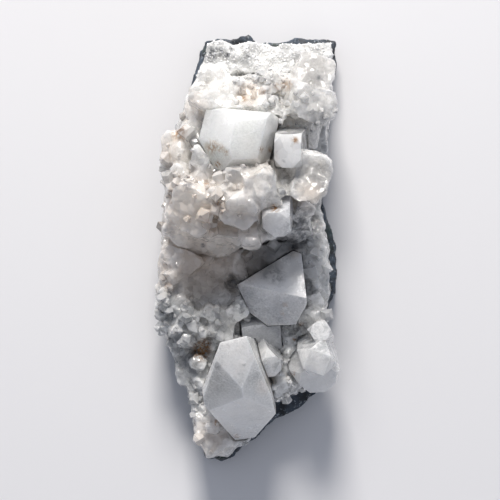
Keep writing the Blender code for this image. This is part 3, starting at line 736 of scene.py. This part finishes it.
def crystalShape(draw):
    # one unit wide, standing on z = 0 with its root half a unit below
    length, point = draw.uniform(*smallCrystals["length"]), draw.uniform(*smallCrystals["point"])
    half = [0.5 * draw.uniform(0.8, 1.2), 0.5 * draw.uniform(0.8, 1.2)]
    shape = bmesh.new()
    rings = []
    for z, wide in ((-0.5, 0.8), (length - 0.15, 1.0)):
        rings.append([shape.verts.new((sx * half[0] * wide, sy * half[1] * wide, z))
                      for sx, sy in ((-1, -1), (1, -1), (1, 1), (-1, 1))])
    tip = shape.verts.new((draw.uniform(-0.1, 0.1), draw.uniform(-0.1, 0.1), length + point))
    for i in range(4):
        j = (i + 1) % 4
        shape.faces.new((rings[0][i], rings[0][j], rings[1][j], rings[1][i]))
        shape.faces.new((rings[1][i], rings[1][j], tip))
    shape.faces.new(rings[0][::-1])
    blunt = length + point * draw.uniform(0.35, 0.95)
    cuts = [((0, 0, blunt), (draw.uniform(-0.2, 0.2), draw.uniform(-0.2, 0.2), 1))]
    if draw.random() < 0.6:
        side = draw.choice([-1, 1])
        corner = (side * 0.42, draw.uniform(-0.3, 0.3), length * 0.8)
        cuts.append((corner, (side, draw.uniform(-0.8, 0.8), 0.8)))
    for at, normal in cuts:
        everything = shape.verts[:] + shape.edges[:] + shape.faces[:]
        found = bmesh.ops.bisect_plane(shape, geom=everything, dist=1e-5, plane_co=at, plane_no=normal,
                                       clear_outer=True)
        rim = [e for e in found["geom_cut"] if isinstance(e, bmesh.types.BMEdge)]
        bmesh.ops.contextual_create(shape, geom=rim)
    bmesh.ops.recalc_face_normals(shape, faces=shape.faces)
    return shape


def grainShape(draw):
    # a broken, roughly eight-cornered grain
    shape = bmesh.new()
    bmesh.ops.create_cube(shape, size=0.8)
    for vert in shape.verts:
        vert.co += Vector([draw.uniform(-0.22, 0.22) for _ in range(3)])
    bmesh.ops.triangulate(shape, faces=shape.faces)
    return shape


def variantsOf(name, maker, seed):
    draw = random.Random(seed)
    group = bpy.data.collections.new(name)
    scene.collection.children.link(group)
    for i in range(smallCrystals["variants"]):
        mesh = bpy.data.meshes.new(f"{name}{i}")
        shape = maker(draw)
        shape.to_mesh(mesh)
        shape.free()
        group.objects.link(bpy.data.objects.new(f"{name}{i}", mesh))
    return group


def growthTree():
    tree = bpy.data.node_groups.new("crystalGrowth", "GeometryNodeTree")
    tree.is_modifier = True
    sockets = (("Surface", "Geometry"), ("Spacing", "Float"), ("Smallest", "Float"),
               ("Largest", "Float"), ("Lean", "Float"), ("Seed", "Int"), ("Kinds", "Collection"),
               ("Finish", "Material"))
    for name, kind in sockets:
        tree.interface.new_socket(name, in_out="INPUT", socket_type="NodeSocket" + kind)
    tree.interface.new_socket("Crystals", in_out="OUTPUT", socket_type="NodeSocketGeometry")
    entry = addNode(tree, "NodeGroupInput").outputs
    where, big = [addNode(tree, "GeometryNodeInputNamedAttribute", {"data_type": "FLOAT"},
                          {"Name": key}) for key in ("growth", "coarse")]

    def worked(operation, *values):
        return addNode(tree, "ShaderNodeMath", {"operation": operation},
                       dict(enumerate(values))).outputs[0]

    # a density well above what the spacing lets through
    crowd = worked("DIVIDE", 4.0, worked("POWER", entry["Spacing"], 2.0))
    spread = addNode(tree, "GeometryNodeDistributePointsOnFaces", {"distribute_method": "POISSON"},
                     {"Mesh": entry["Surface"], "Distance Min": entry["Spacing"], "Density Max": crowd,
                      "Density Factor": where.outputs["Attribute"], "Seed": entry["Seed"]})

    def drawn(kind, low, high, seed):
        # a random value for each crystal; the node has a pair of sockets for each kind of value
        first = {"FLOAT_VECTOR": 0, "FLOAT": 2, "INT": 4}[kind]
        node = addNode(tree, "FunctionNodeRandomValue", {"data_type": kind},
                       {first: low, first + 1: high, 8: seed})
        return node.outputs[{"FLOAT_VECTOR": 0, "FLOAT": 1, "INT": 2}[kind]]

    lean = addNode(tree, "ShaderNodeVectorMath", {"operation": "MULTIPLY_ADD"},
                   {0: drawn("FLOAT_VECTOR", (-1, -1, -1), (1, 1, 1), 3)})
    amounts = addNode(tree, "ShaderNodeCombineXYZ", None,
                      {0: entry["Lean"], 1: entry["Lean"], 2: math.pi})
    tree.links.new(amounts.outputs[0], lean.inputs[1])
    turn = addNode(tree, "FunctionNodeEulerToRotation", None, {0: lean.outputs[0]})
    turned = addNode(tree, "FunctionNodeRotateRotation", {"rotation_space": "LOCAL"},
                     {"Rotation": spread.outputs["Rotation"], "Rotate By": turn.outputs[0]})
    share = worked("POWER", drawn("FLOAT", 0.0, 1.0, 7), 2.2)       # many small ones, few large
    coarse = worked("MULTIPLY", share, big.outputs["Attribute"])
    size = worked("MULTIPLY_ADD", coarse, worked("SUBTRACT", entry["Largest"], entry["Smallest"]),
                  entry["Smallest"])
    patterns = addNode(tree, "GeometryNodeCollectionInfo", None,
                       {"Collection": entry["Kinds"], "Separate Children": True,
                        "Reset Children": True})
    placed = addNode(tree, "GeometryNodeInstanceOnPoints", None,
                     {"Points": spread.outputs["Points"], "Pick Instance": True,
                      "Instance": patterns.outputs[0],
                      "Instance Index": drawn("INT", 0, smallCrystals["variants"] - 1, 5),
                      "Rotation": turned.outputs[0], "Scale": size})
    stored = addNode(tree, "GeometryNodeStoreNamedAttribute",
                     {"data_type": "FLOAT", "domain": "INSTANCE"},
                     {"Geometry": placed.outputs[0], "Name": "own",
                      "Value": drawn("FLOAT", 0.0, 1.0, 9)})
    real = addNode(tree, "GeometryNodeRealizeInstances", None, {"Geometry": stored.outputs[0]})
    dressed = addNode(tree, "GeometryNodeSetMaterial", None,
                      {"Geometry": real.outputs[0], "Material": entry["Finish"]})
    leave = addNode(tree, "NodeGroupOutput")
    tree.links.new(dressed.outputs[0], leave.inputs[0])
    return tree


growth = growthTree()
kinds = {
    "crystal": variantsOf("crystal", crystalShape, smallCrystals["seed"]),
    "grain": variantsOf("grain", grainShape, smallCrystals["seed"] + 1),
}

# Each sowing grows on one surface. Sizes and spacing are in millimetres, lean in radians, frost is
# the range from clear to white, and the places are x, y, radius and strength, seen from above.
# everywhere, hollows and beside are the shares of points kept at large, in the folds and along the
# large crystals, and nothing grows past upTo, the y where the sugary edge begins.

sowings = {
    "crustDruse": {
        "on": "crystal_crust", "kind": "crystal", "finish": "druse_apophyllite", "seed": 1,
        "spacing": 1.3, "size": (0.8, 4.6), "lean": 0.5, "frost": (0.15, 0.95),
        "everywhere": 0.05, "hollows": 0.2, "upTo": 46,
        "places": [(-18, -20, 8, 0.5), (-15, -44, 4, 0.4), (9, -42, 6, 0.4), (18, -6, 6, 0.2),
                   (-12, -28, 5, 0.3), (14, 2, 6, 0.2)],
    },
    "clusterDruse": {
        "on": "upper_cluster", "kind": "crystal", "finish": "druse_apophyllite", "seed": 2,
        "spacing": 1.4, "size": (0.9, 4.2), "lean": 0.5, "frost": (0.3, 1.0),
        "everywhere": 0.02, "hollows": 0.2,
        "places": [(-20, 18, 5, 0.3), (-8, 15, 6, 0.3), (-18, 30, 4, 0.3), (20, 36, 4, 0.15),
                   (-3, 10, 7, 0.2)],
    },
    "pocketCrystals": {
        "on": "upper_cluster", "kind": "crystal", "finish": "druse_apophyllite", "seed": 3,
        "spacing": 1.2, "size": (0.9, 3.6), "lean": 0.7, "frost": (0.3, 1.0),
        "everywhere": 0.0, "hollows": 0.0,
        "places": [(7, 44, 5.5, 0.6), (5, 39, 3.5, 0.5), (15, 40, 3, 0.4), (-22, 20, 4, 0.4),
                   (-5, 14, 3, 0.4), (2, 46, 5, 0.3)],
    },
    "sugarGrains": {
        "on": "crystal_crust", "kind": "grain", "finish": "sugary_apophyllite", "seed": 4,
        "spacing": 0.6, "size": (0.35, 0.9), "lean": 1.2, "frost": (0.7, 1.0),
        "everywhere": 0.0, "hollows": 0.0,
        "places": [(-12, 57, 9, 0.6), (0, 57, 9, 0.6), (11, 57, 9, 0.6), (20, 56, 8, 0.6)],
    },
    "crustCollar": {
        "on": "crystal_crust", "kind": "crystal", "finish": "druse_apophyllite", "seed": 5,
        "spacing": 0.9, "size": (0.8, 2.2), "lean": 0.7, "frost": (0.2, 1.0),
        "everywhere": 0.0, "hollows": 0.0, "beside": 0.8, "upTo": 46, "places": [],
    },
    "clusterCollar": {
        "on": "upper_cluster", "kind": "crystal", "finish": "druse_apophyllite", "seed": 6,
        "spacing": 0.9, "size": (0.8, 2.2), "lean": 0.7, "frost": (0.3, 1.0),
        "everywhere": 0.0, "hollows": 0.0, "beside": 0.8, "upTo": 46, "places": [],
    },
}
boxEdge = np.array([max(abs(corner[i]) for corner in cadBox) for i in range(3)]) / mm
insideBox = (1.2, 1.2, 2.4)     # crystals root this far inside the box of the solids
meeting = {"covered": 1.3, "beside": 1.8}       # how near a large crystal counts, in millimetres
corners, loops = [], []
for piece in standing:
    start = len(corners)
    corners += [tuple(p) for p in coordinates(piece.data)]
    loops += [[start + i for i in face.vertices] for face in piece.data.polygons]
largeOnes = BVHTree.FromPolygons(corners, loops)


def coveredBy(tree, points, outward, reach):
    return np.array([tree.ray_cast(Vector(p), Vector(n), reach)[0] is not None
                     for p, n in zip(points, outward)])


def besideOf(tree, points, reach):
    # 1 where the surface meets a large crystal, 0 beyond the reach
    near = [tree.find_nearest(Vector(p), reach)[3] for p in points]
    return np.array([0.0 if away is None else 1 - away / reach for away in near])


covered = {node: coveredBy(largeOnes, coordinates(piece.data), normalsOf(piece.data),
                            meeting["covered"])
           for node, piece in grown.items()}
beside = {node: besideOf(largeOnes, coordinates(piece.data), meeting["beside"])
          for node, piece in grown.items()}


def sow(name, made):
    base = grown[made["on"]]
    mesh = base.data
    points, outward = coordinates(mesh), normalsOf(mesh)
    fold = meshValues(mesh.attributes["hollow"].data, "value", 1)[:, 0]
    chance = made["everywhere"] + made["hollows"] * fold + spotted(points, made["places"])
    chance += made.get("beside", 0) * beside[made["on"]]
    dents = [(x, y, radius, 1) for x, y, radius, depth, above in grownSurfaces[made["on"]]["dents"]]
    chance *= 1 - np.clip(1.3 * spotted(points, tints["bare"] + dents), 0, 1)
    chance[points[:, 1] > made.get("upTo", 99)] = 0
    chance *= np.clip(outward[:, 2] * 2.5 - 0.2, 0, 1)      # none on undersides, few on steep sides
    chance[(np.abs(points) > boxEdge - insideBox).any(1)] = 0
    chance[covered[made["on"]]] = 0
    setAttribute(mesh, "growth", chance)
    setAttribute(mesh, "coarse", 0.65 + 0.5 * waves(points, 7, 50 + made["seed"]))
    grow = base.modifiers.new("growth", "NODES")
    grow.node_group = growth
    values = {"Spacing": made["spacing"] * mm, "Smallest": made["size"][0] * mm,
              "Largest": made["size"][1] * mm, "Lean": made["lean"], "Seed": made["seed"],
              "Kinds": kinds[made["kind"]], "Finish": crystalFinishes[made["finish"]]}
    for item in growth.interface.items_tree:
        if item.item_type == "SOCKET" and item.name in values:
            grow[item.identifier] = values[item.name]
    piece = base.copy()
    base.modifiers.clear()
    piece.name = name
    scene.collection.objects.link(piece)
    plainMesh(piece)
    mesh = piece.data
    own = meshValues(mesh.attributes["own"].data, "value", 1)[:, 0]
    low, high = made["frost"]
    setAttribute(mesh, "frost", low + (high - low) * own)
    for key in ("own", "growth", "coarse"):
        if key in mesh.attributes:
            mesh.attributes.remove(mesh.attributes[key])
    tintAll(piece)
    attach(piece, "root")
    print(name, len(mesh.polygons), "faces")


for name, made in sowings.items():
    sow(name, made)
for group in kinds.values():
    for pattern in list(group.objects):
        bpy.data.objects.remove(pattern)
    bpy.data.collections.remove(group)
for node, piece in grown.items():
    for key in ("growth", "coarse"):
        piece.data.attributes.remove(piece.data.attributes[key])
    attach(piece, "root")
    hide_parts(node)


# The rock under it all: rough on its sides, flat below

rockShape = {
    "voxel": 0.6, "relief": [(4.5, 1.1), (1.6, 0.5)], "waves": 0.25,
    "fadesBelow": 2.5, "most": 0.6,     # the relief fades towards the flat underside
}
rock = remeshed("basalt_matrix", rockShape["voxel"], basaltFinish, "basaltRock")
points, outward = coordinates(rock.data), normalsOf(rock.data)
shift = rockShape["waves"] * waves(points, 2.5, 40)
for step, (cell, depth) in enumerate(rockShape["relief"]):
    shift += depth * (0.38 - blockyRelief(points, cell, 60 + step))
shift *= np.clip(points[:, 2] / rockShape["fadesBelow"], 0, 1)
points += outward * np.minimum(shift, rockShape["most"])[:, None]
points[:, 2] = np.maximum(points[:, 2], 0)
moveTo(rock.data, points)
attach(rock, "root")
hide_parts("basalt_matrix")
print("rock", len(rock.data.polygons), "faces")
